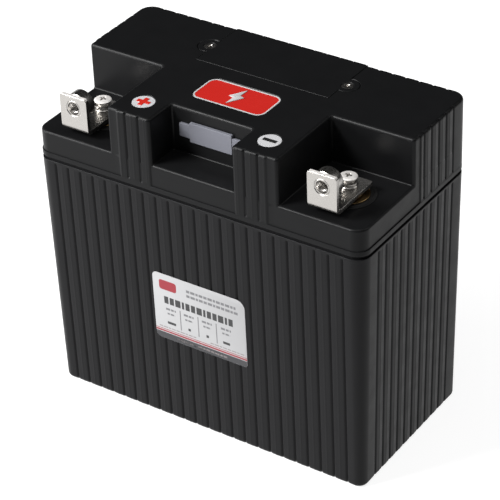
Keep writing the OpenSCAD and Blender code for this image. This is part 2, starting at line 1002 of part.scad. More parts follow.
module emblem_plate() {
    z0 = height - emblem_recess;
    color([0.62, 0.05, 0.06])
        translate([0, emblem_y, z0])
            linear_extrude(emblem_thick)
                rounded_rect(emblem_size[0] / 2, emblem_size[1] / 2, emblem_corner);
}

// Lightning bolt: a zigzag that looks the same after half a turn
module emblem_bolt() {
    half = [[-3.4, -0.6], [1.2, 6.8], [0.9, 1.3]];
    color([0.9, 0.9, 0.9])
        translate([0, emblem_y, height - emblem_recess + emblem_thick])
            linear_extrude(mark_thick)
                polygon(concat(half, -half));
}

lower_case();
top_cover();
seam_seal();
access_cover();
access_gasket();
access_screw_left();
access_screw_right();
access_inserts();
port_cap();
port_socket();
port_pins();
sense_leads();
cell_1();
cell_2();
cell_3();
cell_4();
cell_5();
cell_6();
cell_7();
cell_8();
cell_spacers();
end_foam_left();
end_foam_right();
bottom_pad();
side_pads();
tab_carrier();
positive_busbar();
negative_busbar();
series_link_1();
series_link_2();
series_link_3();
positive_lead();
negative_lead();
positive_lug();
negative_lug();
positive_post();
negative_post();
positive_post_seal();
negative_post_seal();
positive_post_nut();
negative_post_nut();
positive_bracket();
negative_bracket();
positive_bracket_nut();
negative_bracket_nut();
positive_clamp_screw();
negative_clamp_screw();
positive_spring_washer();
negative_spring_washer();
positive_flat_washer();
negative_flat_washer();
plus_badge();
plus_mark();
minus_badge();
minus_mark();
label();
emblem_plate();
emblem_bolt();
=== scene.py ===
import json
import math

import bmesh
import bpy
from mathutils import Matrix, Quaternion, Vector


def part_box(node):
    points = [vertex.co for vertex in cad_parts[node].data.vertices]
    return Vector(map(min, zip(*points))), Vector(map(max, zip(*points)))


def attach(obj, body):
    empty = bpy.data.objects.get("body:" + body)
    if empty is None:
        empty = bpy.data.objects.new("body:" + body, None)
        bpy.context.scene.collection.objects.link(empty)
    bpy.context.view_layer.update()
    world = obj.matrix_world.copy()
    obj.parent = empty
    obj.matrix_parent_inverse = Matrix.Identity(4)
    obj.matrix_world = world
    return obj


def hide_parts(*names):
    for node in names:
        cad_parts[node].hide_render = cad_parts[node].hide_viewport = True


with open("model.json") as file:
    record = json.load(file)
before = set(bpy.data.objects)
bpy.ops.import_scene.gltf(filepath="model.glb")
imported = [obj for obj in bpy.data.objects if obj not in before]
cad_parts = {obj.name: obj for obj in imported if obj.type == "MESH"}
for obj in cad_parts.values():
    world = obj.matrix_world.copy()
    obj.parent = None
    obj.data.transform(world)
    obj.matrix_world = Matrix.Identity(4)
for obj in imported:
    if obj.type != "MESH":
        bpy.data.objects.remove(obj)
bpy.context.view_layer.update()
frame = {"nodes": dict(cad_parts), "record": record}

# Everything below is drawn in millimetres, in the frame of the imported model, and scaled to metres as a
# mesh is made: X to the right, -Y to the front, Z up.
MM = 0.001


def limits(node):
    """Lowest and highest corner of a CAD node, in millimetres."""
    low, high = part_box(node)
    return low / MM, high / MM


CASE_HIGH = limits("lower_case")[1]
LID_LOW, LID_HIGH = limits("top_cover")
SEAL_HIGH = limits("seam_seal")[1]
ACCESS_LOW, ACCESS_HIGH = limits("access_cover")
GASKET_LOW = limits("access_gasket")[0]
CAP_LOW, CAP_HIGH = limits("port_cap")
LABEL_LOW, LABEL_HIGH = limits("label")
EMBLEM_LOW, EMBLEM_HIGH = limits("emblem_plate")

HALF_LENGTH = CASE_HIGH.x
HALF_WIDTH = CASE_HIGH.y
RIM = CASE_HIGH.z
LID_FOOT = SEAL_HIGH.z
TOP = LID_HIGH.z
FLOOR = limits("negative_post_seal")[0].z

# Case and reeds
SEAM = (RIM + LID_FOOT) / 2
DRAFT = 2
WALL = 2.5
CORNER = 6.5
GROOVE = 0.66
GROOVE_HALF = 0.9
RIDGE = 0.09
RIDGE_HALF = 0.9
LONG_STEP = 6.6
SHORT_STEP = 6.05
LONG_COUNT = 23
SHORT_COUNT = 11
PLAIN = 0.5

# Top cover
BLOCK_X = 42.5
WINDOW_X = 20.35
POCKET_Y = -HALF_WIDTH + 41.5
SILL_Y = -HALF_WIDTH + 16.2
PILLAR_REEDS = 36.8
SIDE_REEDS = 3.4
LIP = 2.4

# Access cover and port
ACCESS_X = 33.5
EAR_X, EAR_Y, EAR = 35.1, 23.5, 5.3
HATCH_LOW = (-ACCESS_X + 7, ACCESS_LOW.y + 6)
HATCH_HIGH = (ACCESS_X - 7, HALF_WIDTH - 7)
PORT_Z = 144.6

# Label film and its inks, above the plane of the case front
FILM_TOP = 0.19
INK_TOP = FILM_TOP + 0.006
INK_BASE = FILM_TOP - 0.03


# Meshes


def link(name, mesh):
    obj = bpy.data.objects.new(name, mesh)
    bpy.context.scene.collection.objects.link(obj)
    return obj


def build(name, parts, smooth_angle=32):
    """A mesh object from (points, faces) parts in mm, smooth except at edges sharper than the angle."""
    points, faces = [], []
    for part_points, part_faces in parts:
        start = len(points)
        points += [Vector(p) * MM for p in part_points]
        faces += [tuple(start + i for i in face) for face in part_faces]
    mesh = bpy.data.meshes.new(name)
    mesh.from_pydata(points, [], faces)
    mesh.validate()
    obj = link(name, mesh)
    soften(obj, smooth_angle)
    return obj


def soften(obj, smooth_angle=32):
    mesh = obj.data
    mesh.polygons.foreach_set("use_smooth", [True] * len(mesh.polygons))
    mesh.set_sharp_from_angle(angle=math.radians(smooth_angle))
    mesh.update()


def apply_modifiers(obj):
    graph = bpy.context.evaluated_depsgraph_get()
    mesh = bpy.data.meshes.new_from_object(obj.evaluated_get(graph))
    obj.modifiers.clear()
    obj.data = mesh


def combine(obj, operation, parts):
    """Cuts (parts, points and faces in millimetres) from obj, or joins them to it, one after another."""
    for part in parts:
        tool = build("tool", [part])
        step = obj.modifiers.new(operation, "BOOLEAN")
        step.operation = operation
        step.solver = "EXACT"
        step.object = tool
        apply_modifiers(obj)
        bpy.data.objects.remove(tool)
    soften(obj)
    return obj


def even_normals(obj):
    """Keeps flat faces flat in shading, next to rounded edges."""
    step = obj.modifiers.new("even_normals", "WEIGHTED_NORMAL")
    step.keep_sharp = True
    step.weight = 80


def loft(rings):
    """Closed skin through rings of equally many points, running anticlockwise and upwards."""
    count = len(rings[0])
    faces = [
        (a + i, a + (i + 1) % count, a + count + (i + 1) % count, a + count + i)
        for a in range(0, count * (len(rings) - 1), count)
        for i in range(count)
    ]
    faces.append(tuple(reversed(range(count))))
    faces.append(tuple(range(count * (len(rings) - 1), count * len(rings))))
    return [p for ring in rings for p in ring], faces


def lathe(profile, sides=64, radius=lambda r, z, turn: r):
    """Closed skin of a profile of (radius, height) turned about Z. A profile that starts and ends away
    from the axis is closed on itself, as a ring is;
    radius may change with height and turn, as a thread does."""
    points = []
    for r, z in profile:
        for k in range(sides):
            turn = k / sides
            angle = turn * math.tau
            reach = radius(r, z, turn)
            points.append((reach * math.cos(angle), reach * math.sin(angle), z))
    rows = len(profile)
    faces = [
        (a * sides + k, a * sides + (k + 1) % sides, b * sides + (k + 1) % sides, b * sides + k)
        for a, b in ((i, (i + 1) % rows) for i in range(rows))
        for k in range(sides)
    ]
    return points, faces


def turned(profile, sides=64, radius=lambda r, z, turn: r):
    """Closed skin of a solid profile, from the axis at its bottom to the axis at its top."""
    rings = []
    for r, z in profile:
        ring = []
        for k in range(sides):
            angle = k / sides * math.tau
            reach = radius(r, z, k / sides)
            ring.append((reach * math.cos(angle), reach * math.sin(angle), z))
        rings.append(ring)
    return loft(rings)


def moved(part, to, tilt=None):
    """The part turned by tilt (a function of a point), then moved."""
    points, faces = part
    turned_points = [Vector(tilt(p) if tilt else p) for p in points]
    return [p + Vector(to) for p in turned_points], faces


def facing_front(p):
    """Turns the Z axis of a part to face forwards, along -Y."""
    return p[0], -p[2], p[1]


def extrude(outline, low, high, rounding=0.0, steps=3, foot_rounding=0.0):
    """A plate of an anticlockwise outline with its top edge, and if asked its bottom edge, rounded."""
    rings = []
    if foot_rounding:
        for k in range(steps):
            a = math.pi / 2 * k / steps
            z = low + foot_rounding * (1 - math.sin(a))
            rings.insert(0, [(*p, z) for p in inset(outline, foot_rounding * (1 - math.cos(a)))])
        rings.insert(0, [(*p, low) for p in inset(outline, foot_rounding)])
    else:
        rings.append([(*p, low) for p in outline])
    for k in range(steps + 1 if rounding else 1):
        a = math.pi / 2 * k / steps
        z = high - rounding * (1 - math.sin(a))
        rings.append([(*p, z) for p in inset(outline, rounding * (1 - math.cos(a)))])
    return loft(rings)


def inset(outline, amount):
    """An anticlockwise outline moved inwards by amount."""
    if not amount:
        return list(outline)
    result = []
    for k, here in enumerate(outline):
        here = Vector(here)
        to_here = (here - Vector(outline[k - 1])).normalized()
        from_here = (Vector(outline[(k + 1) % len(outline)]) - here).normalized()
        first, second = to_here.orthogonal(), from_here.orthogonal()
        reach = (first + second) / (1 + first.dot(second))
        result.append(tuple(here + reach * amount))
    return result


def rounded_outline(corners, steps=6):
    """Anticlockwise outline through (x, y, radius) corners."""
    points = []
    for k, (x, y, r) in enumerate(corners):
        here = Vector((x, y))
        before = (Vector(corners[k - 1][:2]) - here).normalized()
        after = (Vector(corners[(k + 1) % len(corners)][:2]) - here).normalized()
        if not r:
            points.append((x, y))
            continue
        reach = r / math.tan(before.angle(after) / 2)
        centre = here + (before + after).normalized() * r / math.sin(before.angle(after) / 2)
        first = here + before * reach - centre
        last = here + after * reach - centre
        sweep = first.angle_signed(last)
        for s in range(steps + 1):
            a = -sweep * s / steps
            points.append((
                centre.x + first.x * math.cos(a) - first.y * math.sin(a),
                centre.y + first.x * math.sin(a) + first.y * math.cos(a),
            ))
    return points


def rectangle(low, high, r):
    (x0, y0), (x1, y1) = low[:2], high[:2]
    return rounded_outline([(x0, y0, r), (x1, y0, r), (x1, y1, r), (x0, y1, r)])


def circle(x, y, r, sides=48):
    turns = [math.tau * k / sides for k in range(sides)]
    return [(x + r * math.cos(a), y + r * math.sin(a)) for a in turns]


# Walls: outlines with reeds, plain strips and fillets


class Mark:
    """One point of a wall's plan: where it is on the crest plane, which way is out, how far a plain
    strip steps in there, how deep a groove is, and whether a fillet runs along its foot."""

    def __init__(self, point, out, step_in=0.0, groove=0.0, fillet=0.0):
        self.point, self.out = point, out
        self.step_in, self.groove, self.fillet = step_in, groove, fillet

    def at(self, z, inwards=0.0, groove_share=1.0, flare=0.0):
        depth = inwards + self.step_in + self.groove * groove_share - flare * self.fillet
        p = self.point - self.out * depth
        return p.x, p.y, z


def groove_depth(distance):
    """Depth of a groove at a distance from its middle: a narrow V with soft lips."""
    t = min(abs(distance) / GROOVE_HALF, 1)
    return GROOVE * (1 - t) ** 1.25


def ridge_depth(distance):
    """Depth of the land of a reed at a distance from its middle, where a faint ridge runs."""
    t = min(abs(distance) / RIDGE_HALF, 1)
    return RIDGE * (1 - math.cos(math.pi * t)) / 2


def reeds(count, step):
    """(position, depth) along a reeded side: grooves, and between them reeds with a faint middle ridge."""
    middles = [(k - (count - 1) / 2) * step for k in range(count)]
    marks = []
    for m in middles:
        marks += [(m + d, groove_depth(d) + RIDGE) for d in (-0.9, -0.6, -0.3, 0, 0.3, 0.6, 0.9)]
        marks += [(m + step / 2 + d, ridge_depth(d)) for d in (-0.9, -0.55, -0.25, 0, 0.25, 0.55, 0.9)]
    return marks[:-7]


LONG_REEDS = reeds(LONG_COUNT, LONG_STEP)
SHORT_REEDS = reeds(SHORT_COUNT, SHORT_STEP)


def walls(corners, styles, arc_steps=6):
    """Marks of a square-cornered plan, anticlockwise from its first corner. A corner is (x, y, radius).
    The style of the wall that leaves a corner gives (marks along it, step in at a place, fillet)."""
    marks = []
    count = len(corners)
    for k, (x, y, r) in enumerate(corners):
        here = Vector((x, y))
        before = (here - Vector(corners[k - 1][:2])).normalized()
        after = (Vector(corners[(k + 1) % count][:2]) - here).normalized()
        turns_left = before.cross(after) > 0
        arrive, leave = styles[k - 1], styles[k]
        centre = here - before * r + after * r
        along_before = before.x * x + before.y * y
        along_after = after.x * x + after.y * y
        first_step = arrive[1](abs(along_before))
        last_step = leave[1](abs(along_after))
        for s in range(arc_steps + 1):
            a = math.pi / 2 * s / arc_steps
            spoke = after * -math.cos(a) + before * math.sin(a)
            out = spoke if turns_left else -spoke
            share = s / arc_steps
            marks.append(Mark(
                centre + spoke * r, out,
                first_step + (last_step - first_step) * share,
                0.0,
                fillet_share(arrive[2], leave[2], share),
            ))
        marks += wall_marks(here + after * r, corners[(k + 1) % count], after, leave)
    return marks


def fillet_share(arrive, leave, share):
    """A fillet that ends at a corner fades out within the first half of it."""
    if arrive == leave:
        return arrive
    return arrive * max(1 - 2 * share, 0) + leave * max(2 * share - 1, 0)


def wall_marks(start, next_corner, along, style):
    """The marks of one straight wall, between its two corners."""
    end = Vector(next_corner[:2]) - along * next_corner[2]
    out = Vector((along.y, -along.x))
    low, high = start.dot(along), end.dot(along)
    found = []
    for place, groove in style[0]:
        if low + 0.3 < place < high - 0.3:
            point = start + along * (place - low)
            found.append(Mark(point, out, style[1](abs(place)), groove, style[2]))
    return found


def ring(marks, z, inwards=0.0, groove_share=1.0, flare=0.0):
    return [m.at(z, inwards, groove_share, flare) for m in marks]


def no_step(place):
    return 0.0


def rounding_levels(z, radius, steps):
    """(height, inset) pairs of an edge rounding that ends at height z."""
    angles = [math.pi / 2 * k / steps for k in range(steps + 1)]
    return [(z - radius * (1 - math.sin(a)), radius * (1 - math.cos(a))) for a in angles]


# Lower case


def lean(z):
    return DRAFT * (1 - z / SEAM)


def case_plan():
    x, y = HALF_LENGTH, HALF_WIDTH
    corners = [(-x, -y, CORNER), (x, -y, CORNER), (x, y, CORNER), (-x, y, CORNER)]
    long_side = (LONG_REEDS, no_step, 0)
    short_side = (SHORT_REEDS, no_step, 0)
    return walls(corners, [long_side, short_side, long_side, short_side], arc_steps=10)


def case_shell():
    """Reeded tub: the grooves run out over the rounded base and end in scoops below the plain rim band."""
    marks = case_plan()
    base, rim = 2.2, 0.25
    rings = []
    for k in range(7):
        a = math.pi / 2 * k / 6
        z = base * (1 - math.cos(a))
        rings.append(ring(marks, z, lean(z) + base * (1 - math.sin(a))))
    groove_end = RIM - 2.6
    for z, share in ((30, 1), (60, 1), (90, 1), (groove_end, 1), (groove_end + 0.5, 0.86),
                     (groove_end + 0.9, 0.55), (groove_end + 1.2, 0.2), (groove_end + 1.35, 0)):
        rings.append(ring(marks, z, lean(z), share))
    ledge = RIM - 0.6
    for z, inwards in rounding_levels(ledge, rim, 5):
        rings.append(ring(marks, z, lean(z) + inwards, 0))
    for z in (ledge, RIM):
        rings.append(ring(marks, z, lean(z) + 1.0, 0))
    thick = GROOVE + WALL
    for z in (RIM, 60, 3):
        rings.append(ring(marks, z, lean(z) + thick, 0))
    case = build("case_shell", [loft(rings)])
    even_normals(case)
    return case


# Top cover


def pillar_step(place):
    """The pillars step in, over a soft ramp, outside their reeds."""
    ramp = 0.9
    return PLAIN * min(max((place - PILLAR_REEDS) / ramp, 0), 1)


def rear_side_step(place):
    """The sides of the rear block step in where they meet the terminal pockets."""
    ramp = 0.5
    return PLAIN * min(max((SIDE_REEDS - place) / ramp, 0), 1)


def block_plan():
    """The raised part of the cover: two pillars with the port window between, and the rear block."""
    x, y = HALF_LENGTH, HALF_WIDTH
    edge, nook = 1.8, 1.0
    pillar_marks = [(s * p, 0) for p in (PILLAR_REEDS + 0.9, PILLAR_REEDS + 0.45) for s in (-1, 1)]
    pillar_reeds = [(p, d) for p, d in LONG_REEDS if abs(p) < PILLAR_REEDS + 0.1]
    pillar = (sorted(pillar_reeds + pillar_marks), pillar_step, 0)
    side_marks = [(SIDE_REEDS - 0.5, 0), (SIDE_REEDS - 0.25, 0)]
    side_reeds = [(p, d) for p, d in SHORT_REEDS if p > SIDE_REEDS - 0.1]
    right_side = (side_marks + side_reeds, rear_side_step, 0)
    left_side = (sorted((-p, d) for p, d in side_marks + side_reeds), rear_side_step, 0)
    back = (LONG_REEDS, no_step, 0)
    inner = ([], no_step, 1)
    corners = [
        (-BLOCK_X, -y, edge), (-WINDOW_X, -y, edge), (-WINDOW_X, SILL_Y, nook), (WINDOW_X, SILL_Y, nook),
        (WINDOW_X, -y, edge), (BLOCK_X, -y, edge), (BLOCK_X, POCKET_Y, nook), (x, POCKET_Y, edge),
        (x, y, CORNER), (-x, y, CORNER), (-x, POCKET_Y, edge), (-BLOCK_X, POCKET_Y, nook),
    ]
    styles = [pillar, inner, inner, inner, pillar, inner, inner, right_side, back, left_side, inner, inner]
    return walls(corners, styles)


def block_rings():
    marks = block_plan()
    clear = 0.02
    foot = LID_FOOT + LIP - 0.5
    fillet, crown = 0.8, 1.5
    rings = [
        ring(marks, foot, clear, 0, fillet),
        ring(marks, foot + 0.7, clear, 0, fillet),
        ring(marks, foot + 1.1, clear, 0.6, fillet),
        ring(marks, foot + 1.6, clear, 1, fillet),
    ]
    for k in range(5):
        a = math.pi / 2 * k / 4
        z = FLOOR + fillet * (1 - math.cos(a))
        rings.append(ring(marks, z, clear, 1, fillet * (1 - math.sin(a))))
    for z, inwards in rounding_levels(TOP, crown, 5):
        rings.append(ring(marks, z, clear + inwards))
    return rings


def shoulder_rings():
    """Skirt inside the case mouth, proud lip, and the shoulder that carries the pocket floors."""
    x, y = HALF_LENGTH, HALF_WIDTH
    side = ([], no_step, 0)
    marks = walls([(-x, -y, CORNER), (x, -y, CORNER), (x, y, CORNER), (-x, y, CORNER)], [side] * 4, 10)
    skirt = GROOVE + WALL + 0.2
    lip_top = LID_FOOT + LIP
    levels = [(LID_LOW.z, skirt), (LID_FOOT, skirt), (LID_FOOT, 0.25), (LID_FOOT + 0.1, 0.08),
              (LID_FOOT + 0.3, 0), (lip_top - 0.3, 0), (lip_top - 0.1, 0.08), (lip_top, 0.25),
              (lip_top, PLAIN)]
    levels += [(z, PLAIN + inwards) for z, inwards in rounding_levels(FLOOR, 1.2, 5)]
    return [ring(marks, z, inwards) for z, inwards in levels]


def inner_block(low, high):
    """Hollow of the raised part."""
    x = HALF_LENGTH - GROOVE - WALL
    y = HALF_WIDTH - GROOVE - WALL
    block, window, r = BLOCK_X - WALL, WINDOW_X + WALL, 1.0
    back, sill = POCKET_Y + WALL, SILL_Y + WALL
    corners = [
        (-block, -y, r), (-window, -y, r), (-window, sill, r),
        (window, sill, r), (window, -y, r), (block, -y, r),
        (block, back, r), (x, back, r), (x, y, 4), (-x, y, 4), (-x, back, r), (-block, back, r),
    ]
    return extrude(rounded_outline(corners), low, high, 0.5)


def access_outline(gap=0.0, back=0.0):
    """Plan of the access cover: a plate with a round ear at each end for its screw."""
    x, ear = ACCESS_X + gap, EAR + gap
    reach = EAR_X - x
    spread = math.acos(-reach / ear)
    arc = [-spread + 2 * spread * k / 24 for k in range(25)]
    right = [(EAR_X + ear * math.cos(a), EAR_Y + ear * math.sin(a)) for a in arc]
    left = [(-px, py) for px, py in reversed(right)]
    low = ACCESS_LOW.y - gap
    return [(-x, low), (x, low)] + right + [(x, ACCESS_HIGH.y + back), (-x, ACCESS_HIGH.y + back)] + left


def cover_shell():
    """The whole top cover: shoulder and raised block joined, hollowed, and cut for what it carries."""
    cover = build("cover_shell", [loft(shoulder_rings())])
    combine(cover, "UNION", [loft(block_rings())])
    ceiling = FLOOR - WALL
    skirt = GROOVE + WALL + 1.6
    reach_x, reach_y = HALF_LENGTH - skirt, HALF_WIDTH - skirt
    mouth = rectangle((-reach_x, -reach_y), (reach_x, reach_y), 2)
    tray_low = TOP - WALL - 6
    tray_x = EAR_X + EAR
    tray = rectangle((-tray_x, ACCESS_LOW.y - 3), (tray_x, HALF_WIDTH - 2), 0.5)
    combine(cover, "DIFFERENCE", [
        extrude(mouth, LID_LOW.z - 1, ceiling, 0.5),
        inner_block(ceiling - 1, TOP - WALL),
    ])
    combine(cover, "UNION", [extrude(tray, tray_low, TOP - 1)])
    hatch = rectangle(HATCH_LOW, HATCH_HIGH, 1)
    chamfer = 0.25
    cuts = [
        flared(access_outline(0.2, 3), GASKET_LOW.z, TOP, chamfer),
        extrude(hatch, tray_low - 1, TOP),
        port_cut(),
        flared(rectangle(EMBLEM_LOW - Vector((0.15, 0.15, 0)), EMBLEM_HIGH + Vector((0.15, 0.15, 0)), 4),
               EMBLEM_LOW.z, TOP, chamfer),
    ]
    for side in ("positive", "negative"):
        low, high = limits(f"{side}_post")
        middle = (low + high) / 2
        cuts.append(extrude(circle(middle.x, middle.y, 5.05), ceiling - 1, FLOOR + 0.2))
    for badge in ("plus_badge", "minus_badge"):
        low, high = limits(badge)
        middle = (low + high) / 2
        cuts.append(flared(circle(middle.x, middle.y, (high.x - low.x) / 2 + 0.15, 64), low.z, TOP, chamfer))
    for s in (-1, 1):
        cuts.append(extrude(circle(s * EAR_X, EAR_Y, 2.3), GASKET_LOW.z - 8, GASKET_LOW.z + 0.5))
    combine(cover, "DIFFERENCE", cuts)
    even_normals(cover)
    return cover


def flared(outline, low, high, chamfer):
    """A cutter that leaves a small chamfer at the surface it cuts through at height high."""
    rings = [[(*p, low) for p in outline], [(*p, high - chamfer) for p in outline]]
    wider = inset(outline, -chamfer - 0.05)
    rings += [[(*p, high + 0.05) for p in wider], [(*p, high + 1) for p in wider]]
    return loft(rings)


def port_cut():
    low = (-9, -(PORT_Z + 3.3))
    high = (9, -(PORT_Z - 3.3))
    plate = extrude(rectangle(low, high, 0.6), -1, WALL + 1)
    points, faces = plate
    return [(p[0], SILL_Y + p[2], -p[1]) for p in points], faces


# Access cover and its screws


def access_plate():
    """Flat cover let into the top, its back edge reeded like the wall that it continues."""
    plate = build("access_plate", [extrude(access_outline(), ACCESS_LOW.z, TOP, 0.35, 3)])
    grooves = []
    for k in range(-5, 6):
        x = k * LONG_STEP
        cut = [(x - 0.8, HALF_WIDTH + 0.1), (x - 0.5, HALF_WIDTH - 0.12), (x, HALF_WIDTH - GROOVE),
               (x + 0.5, HALF_WIDTH - 0.12), (x + 0.8, HALF_WIDTH + 0.1)]
        grooves.append(extrude(cut, ACCESS_LOW.z - 1, TOP + 1))
    holes = [screw_seat(s * EAR_X, EAR_Y) for s in (-1, 1)]
    combine(plate, "DIFFERENCE", grooves + holes)
    even_normals(plate)
    return plate


def screw_seat(x, y):
    """Countersunk hole for an access screw."""
    profile = [(1.7, ACCESS_LOW.z - 1), (1.7, TOP - 1.7), (2.8, TOP - 0.2), (2.8, TOP - 0.15),
               (3.6, TOP + 0.65)]
    return moved(turned(profile, 40), (x, y, 0))


def thread(pitch, depth, low, high):
    """Radius rule of an outside screw thread between two heights."""

    def rule(r, z, turn):
        if not low < z < high:
            return r
        phase = (z / pitch - turn) % 1
        fade = min((z - low) / pitch, (high - z) / pitch, 1)
        return r - depth * fade * (1 - abs(2 * phase - 1))

    return rule


def fine(radius, low, high, step):
    """A straight stretch of profile, cut finely enough for a thread."""
    count = max(int(abs(high - low) / step), 1)
    return [(radius, low + (high - low) * k / count) for k in range(count + 1)]


def cross_cutter(reach, depth, top):
    """A tapering cross, for the recess of a screw head."""
    outline = []
    blade = reach * 0.27
    for quarter in range(4):
        a = quarter * math.pi / 2
        for px, py in ((blade, -blade), (reach, -blade), (reach, blade)):
            outline.append((px * math.cos(a) - py * math.sin(a), px * math.sin(a) + py * math.cos(a)))
    rings = [
        [(x * 0.45, y * 0.45, top - depth) for x, y in outline],
        [(x, y, top) for x, y in outline],
        [(x * 1.2, y * 1.2, top + 0.5) for x, y in outline],
    ]
    return loft(rings)


def access_screw(side, name, node):
    """Countersunk cross-head screw of 3 mm thread."""
    low, high = limits(node)
    top = high.z
    profile = [(0.9, low.z), (1.45, low.z + 0.4)]
    profile += fine(1.5, low.z + 0.45, top - 1.9, 0.09)
    profile += [(1.6, top - 1.25), (2.55, top - 0.25), (2.6, top - 0.16), (2.55, top - 0.06), (2.3, top)]
    part = turned(profile, 32, thread(0.5, 0.22, low.z, top - 1.9))
    screw = build(name, [part])
    combine(screw, "DIFFERENCE", [cross_cutter(1.35, 1.1, top)])
    screw.data.transform(shift(side * EAR_X, EAR_Y, 0))
    even_normals(screw)
    return screw


def shift(x, y, z):
    return Matrix.Translation(Vector((x, y, z)) * MM)


# Port cap


def port_cap():
    """Pull-off cap: a plug in the port, a wide thin flange and a raised pad in its middle."""
    front = CAP_LOW.y
    flange = rectangle((-16, PORT_Z - 3.1), (16, PORT_Z + 3.2), 0.5)
    pad = rounded_outline([
        (-10.7, PORT_Z - 4.65, 0.6), (10.7, PORT_Z - 4.65, 0.6),
        (10.7, PORT_Z + 4.65, 0.6), (-10.7, PORT_Z + 4.65, 0.6),
    ])
    plug = rectangle((-8.75, PORT_Z - 3.05), (8.75, PORT_Z + 3.05), 0.8)
    hollow = rectangle((-7.5, PORT_Z - 1.8), (7.5, PORT_Z + 1.8), 0.5)
    back = SILL_Y - 0.05
    cap = build("port_cap_visual", [standing(flange, front + 0.25, back, 0.25)])
    combine(cap, "UNION", [
        standing(pad, front, back, 0.3),
        standing(plug, back - 0.5, CAP_HIGH.y, 0.0),
    ])
    combine(cap, "DIFFERENCE", [standing(hollow, SILL_Y + 0.5, CAP_HIGH.y + 1, 0.0)])
    even_normals(cap)
    return cap


def standing(outline, front, back, rounding):
    """A plate that stands upright: the outline is in X and Z, its rounded face looks forwards."""
    points, faces = extrude(outline, -back, -front, rounding, 3)
    return [(p[0], -p[2], p[1]) for p in points], faces


# Terminals


def bracket(side):
    """Angle bracket, drawn flat as a pressed blank with its holes, then bent up at the front."""
    low, high = limits(f"{side}_bracket")
    across = (high.x - low.x) / 2
    centre_x = (low.x + high.x) / 2
    metal = 1.9
    bend = 3.0
    back_y, front_y, foot_z, top_z = high.y, low.y, low.z, high.z
    bend_y, bend_z = front_y + bend, foot_z + bend
    foot_length = back_y - bend_y
    arc_length = math.pi / 2 * bend
    plate_length = top_z - bend_z
    total = foot_length + arc_length + plate_length
    outline = rounded_outline([
        (-across, 0, 0.7), (across, 0, 0.7), (across, total, 1.3), (-across, total, 1.3),
    ])
    blank = build(f"{side}_bracket_visual", [extrude(outline, 0, metal, 0.18, 3, 0.18)], 40)
    post = (limits(f"{side}_post")[0] + limits(f"{side}_post")[1]) / 2
    nut = (limits(f"{side}_bracket_nut")[0] + limits(f"{side}_bracket_nut")[1]) / 2
    foot_hole = back_y - post.y
    plate_hole = foot_length + arc_length + nut.z - bend_z
    combine(blank, "DIFFERENCE", [
        chamfered_hole(0, foot_hole, 2.75, metal, 0.2),
        chamfered_hole(0, plate_hole, 3.6, metal, 0.25),
    ])
    slice_lengthways(blank, [foot_length + arc_length * k / 10 for k in range(11)])
    for vertex in blank.data.vertices:
        x, along, up = vertex.co / MM
        if along <= foot_length:
            y, z = back_y - along, foot_z + up
        elif along <= foot_length + arc_length:
            a = (along - foot_length) / bend
            y = bend_y - (bend - up) * math.sin(a)
            z = bend_z - (bend - up) * math.cos(a)
        else:
            y, z = front_y + up, bend_z + along - foot_length - arc_length
        vertex.co = Vector((-x + centre_x, y, z)) * MM
    soften(blank, 40)
    even_normals(blank)
    return blank


def chamfered_hole(x, y, r, thick, chamfer):
    profile = [(r + chamfer + 1, -1), (r, chamfer), (r, thick - chamfer), (r + chamfer + 1, thick + 1)]
    return moved(turned(profile, 48), (x, y, 0))


def slice_lengthways(obj, places):
    """Cuts the faces of obj across at each place along Y, so that it can be bent there."""
    mesh = bmesh.new()
    mesh.from_mesh(obj.data)
    for y in places:
        everything = mesh.verts[:] + mesh.edges[:] + mesh.faces[:]
        bmesh.ops.bisect_plane(mesh, geom=everything, plane_co=(0, y * MM, 0), plane_no=(0, 1, 0), dist=1e-7)
    mesh.to_mesh(obj.data)
    mesh.free()


def bracket_nut(side):
    """Round clinch nut: a collar in the plate, the body behind it, and an M6 thread right through."""
    low, high = limits(f"{side}_bracket_nut")
    depth = high.y - low.y
    body = depth - 1.76
    r, collar, minor = 6.0, 3.58, 2.55
    outer = [(collar - 0.2, depth), (collar, depth - 0.15), (collar, body + 0.05), (collar + 0.05, body),
             (r - 0.3, body), (r, body - 0.3), (r, 0.4), (r - 0.1, 0.15), (r - 0.4, 0)]
    mouth = depth - 0.9
    inner = [(minor + 0.5, 0)] + fine(minor, 0.45, mouth, 0.1)
    inner += [(minor + 0.36, mouth + 0.4), (minor + 0.42, depth)]
    points, faces = lathe(list(reversed(outer + inner)), 48, bore_thread(1.0, 0.42, minor, 0.3, depth - 0.3))
    middle = (low + high) / 2
    part = moved((points, faces), (middle.x, high.y, middle.z), facing_front)
    return build(f"{side}_nut_visual", [part], 35)


def bore_thread(pitch, depth, minor, low, high):
    """Radius rule of an inside thread: only points near the minor radius move."""

    def rule(r, z, turn):
        if r > minor + 0.01 or not low < z < high:
            return r
        phase = (z / pitch - turn) % 1
        fade = min((z - low) / pitch, (high - z) / pitch, 1)
        return r + depth * fade * (1 - abs(2 * phase - 1))

    return rule


